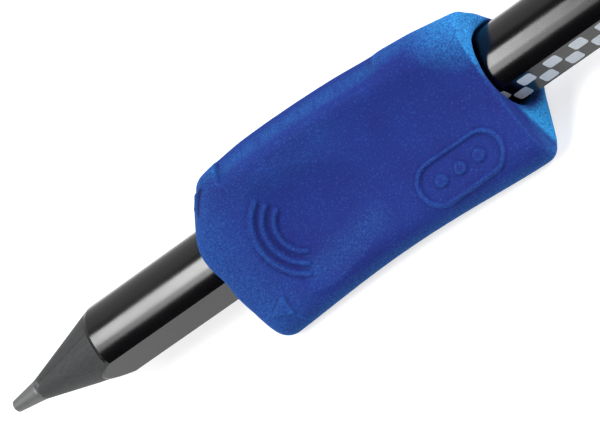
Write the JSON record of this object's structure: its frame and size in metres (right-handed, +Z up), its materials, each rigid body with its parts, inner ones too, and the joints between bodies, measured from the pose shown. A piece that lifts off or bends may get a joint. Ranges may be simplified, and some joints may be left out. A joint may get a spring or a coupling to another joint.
{
  "type": "pencil grip on a pencil",
  "caption": "Three-faced moulded rubber pencil grip with finger wells and touch ribs, sliding on a part-used black lacquered pencil with one flat.",
  "frame": {"origin": "on the surface that the grip's lower ridges stand on, under the middle of the pencil's length and under its axis", "axes": "+X along the pencil from the tip to the butt end, +Z up, -Y towards the ribbed finger well"},
  "size_m": [0.11, 0.0178, 0.0154],
  "materials": {
    "blue_rubber": "matte moulded thermoplastic rubber with a fine sandy grain",
    "dyed_wood": "black-dyed wood, bare where it is sharpened",
    "graphite": "fired graphite and clay, softly shiny",
    "black_lacquer": "gloss black lacquer"
  },
  "bodies": {
    "pencil": {"lead_core": "graphite", "slat_flat_side": "dyed_wood", "slat_round_side": "dyed_wood", "lacquer_coat": "black_lacquer"},
    "grip": {"grip_sleeve": "blue_rubber"}
  },
  "joints": [
    {"name": "grip_slide", "type": "slide", "parent": "pencil", "child": "grip", "axis": [1, 0, 0], "range_m": [-0.064, 0.049]}
  ]
}
